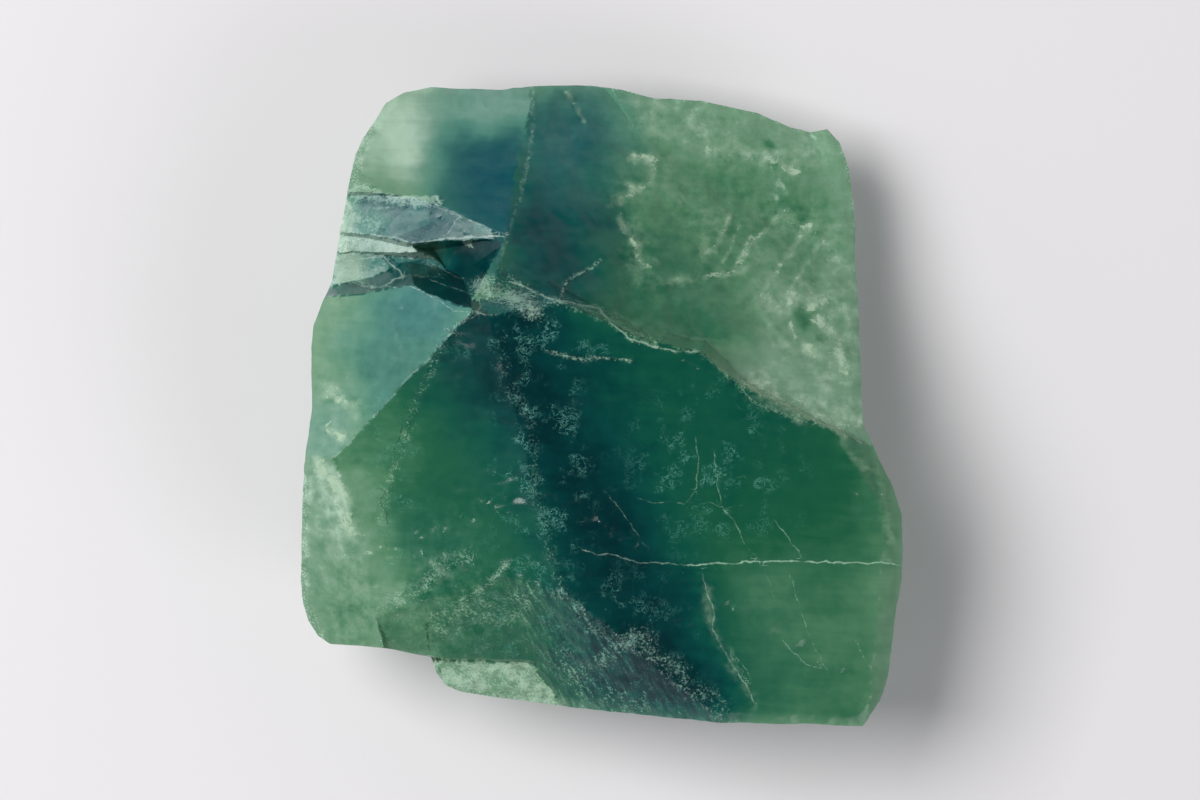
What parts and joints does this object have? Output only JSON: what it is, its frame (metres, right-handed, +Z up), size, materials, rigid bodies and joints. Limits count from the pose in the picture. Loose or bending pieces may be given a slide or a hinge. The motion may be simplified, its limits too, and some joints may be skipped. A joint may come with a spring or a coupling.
{
  "type": "rough fluorite chunk",
  "caption": "Rough see-through green to blue-teal fluorite chunk with cleavage faces, a stepped notch and a lower terrace, resting on a flat broken underside.",
  "frame": {"origin": "on the flat underside, at the middle of the stone's box in X and Y", "axes": "+Z up out of the underside, +Y towards the low terrace at the back, +X to the right as the picture shows it from above"},
  "size_m": [0.045, 0.048, 0.0207],
  "materials": {
    "fluorite": "see-through green and blue-teal crystal, glassy cleavage faces, frosted broken faces, pale thin edges"
  },
  "bodies": {
    "root": {"fluorite": "fluorite"}
  },
  "joints": []
}
